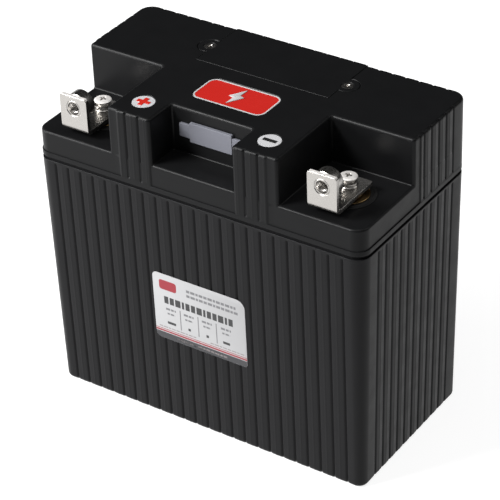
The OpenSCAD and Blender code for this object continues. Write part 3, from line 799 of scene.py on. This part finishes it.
def clamp_screw(side):
    """Screw with a cone-shaped head over the washers, and a cross recess."""
    low, high = limits(f"{side}_clamp_screw")
    seat = limits(f"{side}_spring_washer")[1].z
    top = high.z
    profile = [(1.6, low.z), (2.2, low.z + 0.5)]
    profile += fine(2.48, low.z + 0.6, seat - 2.2, 0.12)
    rim = top - 0.75
    profile += [(2.45, seat - 1.2), (2.45, seat), (2.75, seat + 0.05), (2.8, seat + 0.25), (3.2, rim - 0.75),
                (3.75, rim - 0.35), (3.88, rim - 0.15), (3.9, rim), (3.84, rim + 0.2), (3.6, rim + 0.38)]
    dome = top - rim - 0.38
    profile += [(3.6 * math.cos(a), rim + 0.38 + dome * math.sin(a)) for a in (0.3, 0.6, 0.9, 1.2)]
    screw = build(f"{side}_screw_visual", [turned(profile, 48, thread(0.8, 0.38, low.z, seat - 2.2))])
    combine(screw, "DIFFERENCE", [cross_cutter(1.7, 1.6, top)])
    middle = (low + high) / 2
    screw.data.transform(shift(middle.x, middle.y, 0))
    even_normals(screw)
    return screw


def flat_washer(side):
    low, high = limits(f"{side}_flat_washer")
    edge = 0.15
    outer, inner = 4.0, 2.56
    profile = [(inner, low.z + edge), (inner + edge, low.z), (outer - edge, low.z), (outer, low.z + edge),
               (outer, high.z - edge), (outer - edge, high.z), (inner + edge, high.z), (inner, high.z - edge)]
    middle = (low + high) / 2
    return build(f"{side}_flat_washer_visual", [moved(lathe(profile, 48), (middle.x, middle.y, 0))], 35)


def spring_washer(side):
    """Split washer: a squarish section swept almost once round, its ends slanted."""
    low, high = limits(f"{side}_spring_washer")
    middle = (low + high) / 2
    inner, outer, edge = 2.56, 3.7, 0.15
    section = rounded_outline([
        (inner, low.z, edge), (outer, low.z, edge), (outer, high.z, edge), (inner, high.z, edge),
    ], 2)
    rings = []
    steps, gap = 60, math.radians(11)
    for k in range(steps + 1):
        a = -math.pi / 2 + gap / 2 + (math.tau - gap) * k / steps
        ring_points = []
        for r, z in section:
            slant = (z - low.z - 0.6) * 0.16
            ring_points.append((middle.x + r * math.cos(a + slant), middle.y + r * math.sin(a + slant), z))
        rings.append(list(reversed(ring_points)))
    return build(f"{side}_spring_washer_visual", [loft(rings)], 35)


def post(side):
    """Turned brass post: flange with faint lathe rings, boss, threaded bore and stud."""
    low, high = limits(f"{side}_post")
    seal_top = limits(f"{side}_post_seal")[1].z
    top = high.z
    flange, flange_thick, boss, bore = 9.0, 0.6, 5.5, 2.55
    outer = [(4.2, low.z), (5.0, low.z + 0.8), (5.0, seal_top), (flange - 0.15, seal_top),
             (flange, seal_top + 0.15), (flange, seal_top + flange_thick - 0.15),
             (flange - 0.15, seal_top + flange_thick)]
    for k in range(5):
        r = flange - 0.5 - 0.6 * k
        outer += [(r, seal_top + flange_thick), (r - 0.15, seal_top + flange_thick - 0.06),
                  (r - 0.3, seal_top + flange_thick)]
    outer += [(boss + 0.3, seal_top + flange_thick), (boss, seal_top + flange_thick + 0.3), (boss, top - 0.3),
              (boss - 0.3, top), (bore + 0.4, top)]
    bore_floor = top - 11
    inner = [(r, z) for r, z in reversed(fine(bore, bore_floor, top - 0.4, 0.12))]
    inner += [(0.01, bore_floor - 1.2)]
    points, faces = turned(outer + inner, 56, bore_thread(0.8, 0.3, bore, bore_floor, top - 0.3))
    middle = (low + high) / 2
    return build(f"{side}_post_visual", [moved((points, faces), (middle.x, middle.y, 0))], 30)


def post_seal(side):
    """Moulded sealing ring round the flange, with a rounded outer edge and a groove in its face."""
    low, high = limits(f"{side}_post_seal")
    middle = (low + high) / 2
    outer, inner = 11.8, 5.02
    z0, z1 = low.z, high.z
    profile = [(inner, z0), (outer, z0), (outer, z1 - 0.25), (outer - 0.1, z1 - 0.08), (outer - 0.3, z1),
               (10.6, z1), (10.4, z1 - 0.12), (10.1, z1 - 0.12), (9.9, z1), (inner, z1)]
    return build(f"{side}_seal_visual", [moved(lathe(profile, 72), (middle.x, middle.y, 0))], 30)


# Trim


def badge(name, node):
    """Round polarity badge with a softened rim."""
    low, high = limits(node)
    r = (high.x - low.x) / 2
    middle = (low + high) / 2
    profile = [(r, low.z), (r, high.z - 0.15), (r - 0.05, high.z - 0.05), (r - 0.15, high.z),
               (r * 0.5, high.z)]
    piece = build(name, [moved(turned(profile, 64), (middle.x, middle.y, 0))], 30)
    even_normals(piece)
    return piece


def mark(name, node, arms):
    """Printed plus or minus sign, slightly raised."""
    low, high = limits(node)
    middle = (low + high) / 2
    reach = (high.x - low.x) / 2
    half = min(high.y - low.y, 2.1) / 2
    if arms == 2:
        outline = [(half, -half), (reach, -half), (reach, half), (half, half), (half, reach), (-half, reach),
                   (-half, half), (-reach, half), (-reach, -half), (-half, -half), (-half, -reach),
                   (half, -reach)]
    else:
        outline = [(-reach, -half), (reach, -half), (reach, half), (-reach, half)]
    return build(name, [moved(extrude(outline, low.z, high.z, 0.04, 1), (middle.x, middle.y, 0))])


def on_front(part):
    """From the label's own plane to the leaning front of the case."""
    slope = math.atan(DRAFT / SEAM)
    middle = Vector(((LABEL_LOW.x + LABEL_HIGH.x) / 2, 0, (LABEL_LOW.z + LABEL_HIGH.z) / 2))
    surface = -HALF_WIDTH + lean(middle.z)
    points, faces = part
    out = []
    for x, up, off in points:
        y = surface - off * math.cos(slope) - up * math.sin(slope)
        z = middle.z + up * math.cos(slope) - off * math.sin(slope)
        out.append((middle.x + x, y, z))
    return out, faces


def label_film():
    """Printed film stretched over the reeds, with a larger radius at one upper corner."""
    wide, tall = label_half()
    outline = rounded_outline([
        (-wide, -tall, 2.5), (wide, -tall, 1.6), (wide, tall, 4.0), (-wide, tall, 2.4),
    ])
    return build("label_film", [on_front(extrude(outline, -0.05, FILM_TOP, 0.05, 2))])


def label_half():
    size = LABEL_HIGH - LABEL_LOW
    return size.x / 2, size.z / 2


def bar(x0, y0, x1, y1):
    """A printed bar between two corners, measured from the middle of the label."""
    outline = [(x0, y0), (x1, y0), (x1, y1), (x0, y1)]
    return on_front(extrude(outline, INK_BASE, INK_TOP))


def dashes(x0, x1, y, height, widths=(1.7, 2.3, 1.2, 2.0), gap=0.45):
    """A row of short bars that stands for a line of small print."""
    row = []
    k = 0
    while x0 < x1:
        width = widths[k % len(widths)]
        row.append(bar(x0, y - height / 2, min(x0 + width, x1), y + height / 2))
        x0 += width + gap
        k += 1
    return row


def title_blocks(x0, x1, y, height):
    """A bold row of plain blocks, in place of the name."""
    return dashes(x0, x1, y, height, (2.2, 2.2, 2.8, 1.2), 0.7)


def print_pieces():
    """The printed areas of the label, by ink. Plain bars stand for its words."""
    wide, tall = label_half()
    edge = 0.05
    band_top = -tall + 3.3
    band = rounded_outline([
        (-wide + edge, -tall + edge, 2.45), (wide - edge, -tall + edge, 1.55),
        (wide - edge, band_top, 0), (-wide + edge, band_top, 0),
    ])
    red = [
        bar(-wide + edge, band_top + 0.35, wide - edge, band_top + 1.15),
        bar(-wide + edge, band_top + 1.6, wide - edge, band_top + 1.9),
        on_front(extrude(rectangle((-20.6, 9.2), (-11.6, 14.2), 1.2), INK_BASE, INK_TOP)),
    ]
    black = title_blocks(-18.4, 17.8, 3.9, 3.7)
    black.append(bar(-17.4, -8.7, -13.0, -7.4))
    grey = dashes(-6.3, 19.3, 12.4, 1.3) + dashes(-6.3, 20.6, 9.9, 1.3)
    for x in (-10.3, -0.9, 8.6):
        grey.append(bar(x - 0.24, -9.9, x + 0.24, 0.7))
    for x, value in ((-15.2, 0), (-5.8, 1.3), (3.7, 1.3), (13.6, 3.6)):
        grey += dashes(x - 2.6, x + 2.6, -0.8, 1.1, (2.2, 1.4))
        grey += dashes(x - 2.0, x + 2.0, -3.2, 0.9, (1.2, 1.8))
        if value:
            black.append(bar(x - value / 2, -8.7, x + value / 2, -7.4))
    pale = dashes(-22.0, -2.5, -11.0, 0.6) + dashes(5.0, 22.5, -11.0, 0.6)
    light = dashes(-13.0, 13.5, -tall + 1.7, 0.95)
    return {
        "print_dark": [on_front(extrude(band, INK_BASE, INK_TOP))],
        "print_red": red,
        "print_black": black,
        "print_grey": grey,
        "print_pale": pale + light,
    }


def emblem():
    """Generic badge: a red plate inside a slightly raised silver rim, as (plate, rim) parts."""
    outline = rectangle(EMBLEM_LOW, EMBLEM_HIGH, 4)
    low, high = EMBLEM_LOW.z, EMBLEM_HIGH.z
    rim = 0.8
    sink = 0.12
    levels = [(low, 0), (high - 0.15, 0), (high - 0.04, 0.05), (high, 0.16),
              (high, rim - 0.16), (high - 0.04, rim - 0.05), (high - sink - 0.05, rim)]
    rings = [[(*p, z) for p in inset(outline, inwards)] for z, inwards in levels]
    return extrude(inset(outline, rim - 0.02), high - sink - 0.1, high - sink), loft(rings)


def bolt():
    """Lightning bolt: a zigzag that looks the same after half a turn."""
    low, high = limits("emblem_bolt")
    middle = (low + high) / 2
    half = [(-3.4, -0.6), (1.2, 6.8), (0.9, 1.3)]
    outline = [(x, y) for x, y in half] + [(-x, -y) for x, y in half]
    outline = list(reversed(outline))
    base = high.z - 0.35
    part = extrude(outline, base, high.z, 0.06, 2)
    return build("emblem_bolt_visual", [moved(part, (middle.x, middle.y, 0))])


# Materials


def material(name, colour, roughness, metallic=0.0, specular=0.5):
    made = bpy.data.materials.new(name)
    made.use_nodes = True
    shader = made.node_tree.nodes["Principled BSDF"]
    shader.inputs["Base Color"].default_value = (*colour, 1)
    shader.inputs["Roughness"].default_value = roughness
    shader.inputs["Metallic"].default_value = metallic
    shader.inputs["Specular IOR Level"].default_value = specular
    return made, made.node_tree, shader


def noise(tree, scale, detail=3.0, stretch=(1, 1, 1)):
    """Noise over the piece's own coordinates, in metres."""
    place = tree.nodes.new("ShaderNodeTexCoord")
    fit = tree.nodes.new("ShaderNodeMapping")
    fit.inputs["Scale"].default_value = stretch
    texture = tree.nodes.new("ShaderNodeTexNoise")
    texture.inputs["Scale"].default_value = scale
    texture.inputs["Detail"].default_value = detail
    tree.links.new(place.outputs["Object"], fit.inputs["Vector"])
    tree.links.new(fit.outputs["Vector"], texture.inputs["Vector"])
    return texture.outputs["Fac"]


def spread(tree, source, low, high, into):
    """Maps noise to a range and feeds it to a socket."""
    node = tree.nodes.new("ShaderNodeMapRange")
    node.inputs["From Min"].default_value = 0.3
    node.inputs["From Max"].default_value = 0.7
    node.inputs["To Min"].default_value = low
    node.inputs["To Max"].default_value = high
    tree.links.new(source, node.inputs["Value"])
    tree.links.new(node.outputs["Result"], into)


def tint(tree, shader, source, first, second):
    """Mixes two colours over the surface by noise."""
    node = tree.nodes.new("ShaderNodeMix")
    node.data_type = "RGBA"
    node.inputs[6].default_value = (*first, 1)
    node.inputs[7].default_value = (*second, 1)
    tree.links.new(source, node.inputs["Factor"])
    tree.links.new(node.outputs[2], shader.inputs["Base Color"])


def bump(tree, shader, source, height, strength=1.0):
    node = tree.nodes.new("ShaderNodeBump")
    node.inputs["Strength"].default_value = strength
    node.inputs["Distance"].default_value = height
    tree.links.new(source, node.inputs["Height"])
    tree.links.new(node.outputs["Normal"], shader.inputs["Normal"])


def moulded_plastic(name, dark, light, roughness, grain=1800, height=0.00003, specular=0.1):
    """Moulded plastic with a fine spark-eroded grain and slightly uneven gloss."""
    made, tree, shader = material(name, dark, roughness, 0.0, specular)
    cloud = noise(tree, 60, 4)
    tint(tree, shader, cloud, dark, light)
    spread(tree, noise(tree, 140, 5), roughness - 0.05, roughness + 0.06, shader.inputs["Roughness"])
    bump(tree, shader, noise(tree, grain, 2), height, 0.6)
    return made


def plated_metal(name, colour, shade, roughness, stretch=(1, 1, 1), height=0.000003):
    """Plated metal with fine rolling or turning marks and faint staining."""
    made, tree, shader = material(name, colour, roughness, 1.0)
    tint(tree, shader, noise(tree, 90, 6), shade, colour)
    spread(tree, noise(tree, 700, 4, stretch), roughness - 0.06, roughness + 0.1, shader.inputs["Roughness"])
    bump(tree, shader, noise(tree, 2200, 3, stretch), height, 0.5)
    return made


def rubbery(name, dark, light, roughness=0.75):
    made, tree, shader = material(name, dark, roughness, 0.0, 0.3)
    tint(tree, shader, noise(tree, 200, 4), dark, light)
    spread(tree, noise(tree, 500, 3), roughness - 0.08, roughness + 0.08, shader.inputs["Roughness"])
    bump(tree, shader, noise(tree, 1500, 3), 0.00004, 0.5)
    return made


def open_foam(name, dark, light):
    made, tree, shader = material(name, dark, 0.95, 0.0, 0.2)
    tint(tree, shader, noise(tree, 900, 2), dark, light)
    bump(tree, shader, noise(tree, 900, 2), 0.0004, 0.8)
    return made


def pouch_foil(name):
    """Aluminium laminate of a pouch cell: soft dents and a satin sheen."""
    made, tree, shader = material(name, (0.62, 0.64, 0.66), 0.35, 0.85)
    tint(tree, shader, noise(tree, 40, 5), (0.52, 0.54, 0.56), (0.7, 0.71, 0.73))
    spread(tree, noise(tree, 300, 3), 0.28, 0.45, shader.inputs["Roughness"])
    bump(tree, shader, noise(tree, 60, 3), 0.0006, 0.5)
    return made


def printed_film(name, colour, roughness=0.32):
    """Vinyl film or ink: even colour with a slight orange-peel gloss."""
    made, tree, shader = material(name, colour, roughness, 0.0, 0.5)
    lighter = tuple(min(c * 1.05 + 0.002, 1) for c in colour)
    tint(tree, shader, noise(tree, 120, 3), colour, lighter)
    spread(tree, noise(tree, 400, 3), roughness - 0.04, roughness + 0.05, shader.inputs["Roughness"])
    bump(tree, shader, noise(tree, 700, 2), 0.00001, 0.4)
    return made


def all_materials():
    """One material for each slot of the record, and the label's inks."""
    nickel, nickel_shade = (0.44, 0.425, 0.405), (0.41, 0.395, 0.375)
    brass, brass_shade = (0.2, 0.135, 0.06), (0.14, 0.09, 0.04)
    return {
        "case_plastic": moulded_plastic(
            "case_plastic", (0.0065, 0.0065, 0.007), (0.0078, 0.0078, 0.0084), 0.36,
        ),
        "cover_plastic": moulded_plastic(
            "cover_plastic", (0.0052, 0.0053, 0.0056), (0.0064, 0.0065, 0.0069), 0.36,
        ),
        "sealant": rubbery("sealant", (0.004, 0.004, 0.004), (0.007, 0.007, 0.007)),
        "gasket_rubber": rubbery("gasket_rubber", (0.0035, 0.0035, 0.0035), (0.006, 0.006, 0.006), 0.6),
        "screw_nickel": plated_metal("screw_nickel", nickel, nickel_shade, 0.3),
        "bracket_nickel": plated_metal("bracket_nickel", nickel, nickel_shade, 0.27, (1, 6, 1)),
        "brass": plated_metal("brass", brass, brass_shade, 0.33),
        # Much lighter and rougher than the nickel. It is laid only on upward-facing tops of the clamp screw
        # heads and bracket plates, as a painted highlight.
        "brushed_nickel": plated_metal("brushed_nickel", (0.82, 0.8, 0.78), (0.7, 0.68, 0.66), 0.72),
        "cap_plastic": moulded_plastic(
            "cap_plastic", (0.13, 0.133, 0.155), (0.155, 0.158, 0.18), 0.45, 1200, 0.00002,
        ),
        "socket_plastic": moulded_plastic("socket_plastic", (0.6, 0.58, 0.48), (0.68, 0.66, 0.57), 0.45),
        "pin_metal": plated_metal("pin_metal", (0.75, 0.62, 0.35), (0.62, 0.5, 0.27), 0.25),
        "wire_jacket": rubbery("wire_jacket", (0.012, 0.012, 0.012), (0.02, 0.02, 0.02), 0.5),
        "red_jacket": rubbery("red_jacket", (0.42, 0.02, 0.015), (0.5, 0.035, 0.03), 0.5),
        "cell_pouch": pouch_foil("cell_pouch"),
        "foam": open_foam("foam", (0.03, 0.03, 0.033), (0.06, 0.06, 0.065)),
        "carrier_board": moulded_plastic("carrier_board", (0.4, 0.4, 0.27), (0.5, 0.5, 0.36), 0.6),
        "copper": plated_metal("copper", (0.83, 0.44, 0.3), (0.62, 0.28, 0.17), 0.3),
        "lug_tin": plated_metal("lug_tin", (0.72, 0.72, 0.7), (0.6, 0.6, 0.58), 0.35),
        "badge_white": printed_film("badge_white", (0.42, 0.42, 0.43), 0.25),
        "mark_red": printed_film("mark_red", (0.42, 0.016, 0.01), 0.3),
        "mark_black": printed_film("mark_black", (0.01, 0.01, 0.01), 0.3),
        "label_film": printed_film("label_film", (0.3, 0.3, 0.305)),
        "emblem_red": printed_film("emblem_red", (0.4, 0.014, 0.01), 0.25),
        "emblem_silver": printed_film("emblem_silver", (0.4, 0.4, 0.4), 0.25),
        "print_dark": printed_film("print_dark", (0.02, 0.02, 0.023)),
        "print_red": printed_film("print_red", (0.2, 0.006, 0.014)),
        "print_black": printed_film("print_black", (0.015, 0.015, 0.016)),
        "print_grey": printed_film("print_grey", (0.11, 0.11, 0.115)),
        "print_pale": printed_film("print_pale", (0.19, 0.17, 0.17)),
    }


MATERIALS = all_materials()


def paint(obj, *slots):
    obj.data.materials.clear()
    for name in slots:
        obj.data.materials.append(MATERIALS[name])


# Assembly


def painted_highlight_where(obj, picks):
    """Gives the faces that picks(normal, middle in millimetres) chooses the lighter brushed_nickel material,
    a painted highlight.
    """
    obj.data.materials.append(MATERIALS["brushed_nickel"])
    for face in obj.data.polygons:
        if picks(face.normal, face.center / MM):
            face.material_index = 1


def place(obj, body, slot, *nodes):
    """Puts a finished piece on its body in place of the CAD nodes it stands for."""
    paint(obj, slot)
    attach(obj, body)
    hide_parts(*nodes)


def add_label():
    film = label_film()
    inks = print_pieces()
    parts = [film]
    for name, slabs in inks.items():
        ink = build(name, slabs)
        paint(ink, name)
        parts.append(ink)
    paint(film, "label_film")
    join(parts)
    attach(film, "battery")
    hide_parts("label")


def add_emblem():
    """Red plate whose raised rim is silver."""
    face, rim = emblem()
    plate = build("emblem_visual", [rim])
    paint(plate, "emblem_silver")
    field = build("emblem_field", [face])
    paint(field, "emblem_red")
    join([plate, field])
    even_normals(plate)
    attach(plate, "battery")
    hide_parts("emblem_plate")


def join(parts):
    """Joins the parts' meshes, materials and all, into the first one."""
    for o in bpy.context.selected_objects:
        o.select_set(False)
    for o in parts:
        o.select_set(True)
    bpy.context.view_layer.objects.active = parts[0]
    bpy.ops.object.join()


def place_bracket(side):
    """Plated all over; the upward-facing top edge gets the lighter brushed_nickel material, a painted
    highlight.
    """
    plate = bracket(side)
    place(plate, f"{side}_bracket_body", "bracket_nickel", f"{side}_bracket")
    low, high = limits(f"{side}_bracket")
    # Upward-facing faces at the top of the plate: painted highlight.
    painted_highlight_where(plate, lambda normal, middle: normal.z > 0.9 and middle.z > high.z - 0.5)


def place_clamp_screw(side):
    """The domed top of the head gets the lighter brushed_nickel material as a painted highlight; the rest is
    bright nickel.
    """
    screw = clamp_screw(side)
    place(screw, f"{side}_screw_body", "screw_nickel", f"{side}_clamp_screw")
    top = limits(f"{side}_clamp_screw")[1].z
    # Upward-facing faces of the head top: painted highlight.
    painted_highlight_where(screw, lambda normal, middle: normal.z > 0.3 and middle.z > top - 0.7)


def add_pieces():
    place(case_shell(), "battery", "case_plastic", "lower_case")
    place(cover_shell(), "battery", "cover_plastic", "top_cover")
    place(access_plate(), "access_cover_body", "cover_plastic", "access_cover")
    for s, word in ((-1, "left"), (1, "right")):
        node = f"access_screw_{word}"
        screw = access_screw(s, f"{node}_visual", node)
        place(screw, f"{node}_body", "screw_nickel", node)
    place(port_cap(), "port_cap_body", "cap_plastic", "port_cap")
    for side in ("positive", "negative"):
        place_bracket(side)
        place(bracket_nut(side), f"{side}_bracket_body", "bracket_nickel", f"{side}_bracket_nut")
        place_clamp_screw(side)
        place(flat_washer(side), f"{side}_screw_body", "screw_nickel", f"{side}_flat_washer")
        place(spring_washer(side), f"{side}_screw_body", "screw_nickel", f"{side}_spring_washer")
        place(post(side), "battery", "brass", f"{side}_post")
        place(post_seal(side), "battery", "gasket_rubber", f"{side}_post_seal")
    place(badge("plus_badge_visual", "plus_badge"), "battery", "badge_white", "plus_badge")
    place(badge("minus_badge_visual", "minus_badge"), "battery", "badge_white", "minus_badge")
    place(mark("plus_mark_visual", "plus_mark", 2), "battery", "mark_red", "plus_mark")
    place(mark("minus_mark_visual", "minus_mark", 1), "battery", "mark_black", "minus_mark")
    place(bolt(), "battery", "emblem_silver", "emblem_bolt")
    add_label()
    add_emblem()


def paint_frame():
    """Gives every CAD node the material of its slot in the record."""
    for part in frame["record"]["subparts"]:
        paint(frame["nodes"][part["node"]], part["material_slot"])


# Stage


def add_floor():
    size = 12
    half = size / 2
    mesh = bpy.data.meshes.new("floor")
    corners = [(-half, -half, 0), (half, -half, 0), (half, half, 0), (-half, half, 0)]
    mesh.from_pydata(corners, [], [(0, 1, 2, 3)])
    floor = link("floor", mesh)
    floor.location.z = -0.0002
    made, tree, shader = material("floor_paper", (0.3, 0.3, 0.3), 0.9, 0.0, 0.1)
    shader.inputs["Emission Color"].default_value = (1, 1, 1, 1)
    shader.inputs["Emission Strength"].default_value = 0.86
    tint(tree, shader, noise(tree, 3, 2), (0.3, 0.3, 0.3), (0.31, 0.31, 0.31))
    mesh.materials.append(made)


def add_light(name, azimuth, elevation, distance, size, watts, colour=(1, 1, 1)):
    """A square softbox that looks at the object. Azimuth 0 is in front, 90 to the right."""
    light = bpy.data.lights.new(name, "AREA")
    light.shape = "RECTANGLE"
    light.size, light.size_y = size
    light.energy = watts
    light.color = colour
    obj = link(name, light)
    a, e = math.radians(azimuth), math.radians(elevation)
    towards = Vector((math.sin(a) * math.cos(e), -math.cos(a) * math.cos(e), math.sin(e)))
    obj.location = Vector((0, 0, TOP * MM / 2)) + towards * distance
    obj.rotation_euler = towards.to_track_quat("Z", "Y").to_euler()
    return obj


def add_lights():
    world = bpy.data.worlds.new("studio")
    world.use_nodes = True
    world.node_tree.nodes["Background"].inputs["Color"].default_value = (0.015, 0.015, 0.0155, 1)
    bpy.context.scene.world = world
    add_light("overhead", 30, 80, 2.0, (1.6, 1.6), 14)
    add_light("key", -41, 43, 1.8, (0.6, 0.6), 48)
    add_light("low", -55, 12, 1.6, (1.0, 0.5), 28)
    add_light("back", 125, 42, 1.8, (1.0, 0.8), 6)


def add_camera():
    """Looks down from the front right; the rolled horizon is the photographer's."""
    azimuth, elevation, roll = math.radians(34.78), math.radians(33.45), math.radians(-2.28)
    distance, target = 0.981, Vector((-0.0002, -0.0024, 0.0747))
    data = bpy.data.cameras.new("camera")
    data.lens = 160.5
    data.sensor_width = 36
    camera = link("camera", data)
    away = Vector((
        math.sin(azimuth) * math.cos(elevation),
        -math.cos(azimuth) * math.cos(elevation),
        math.sin(elevation),
    ))
    camera.location = target + away * distance
    turn = away.to_track_quat("Z", "Y")
    camera.rotation_mode = "QUATERNION"
    camera.rotation_quaternion = turn @ rolled(roll)
    bpy.context.scene.camera = camera


def rolled(angle):
    return Quaternion((0, 0, 1), angle)


bpy.context.scene.view_settings.view_transform = "Standard"
add_camera()
paint_frame()
add_pieces()
add_floor()
add_lights()
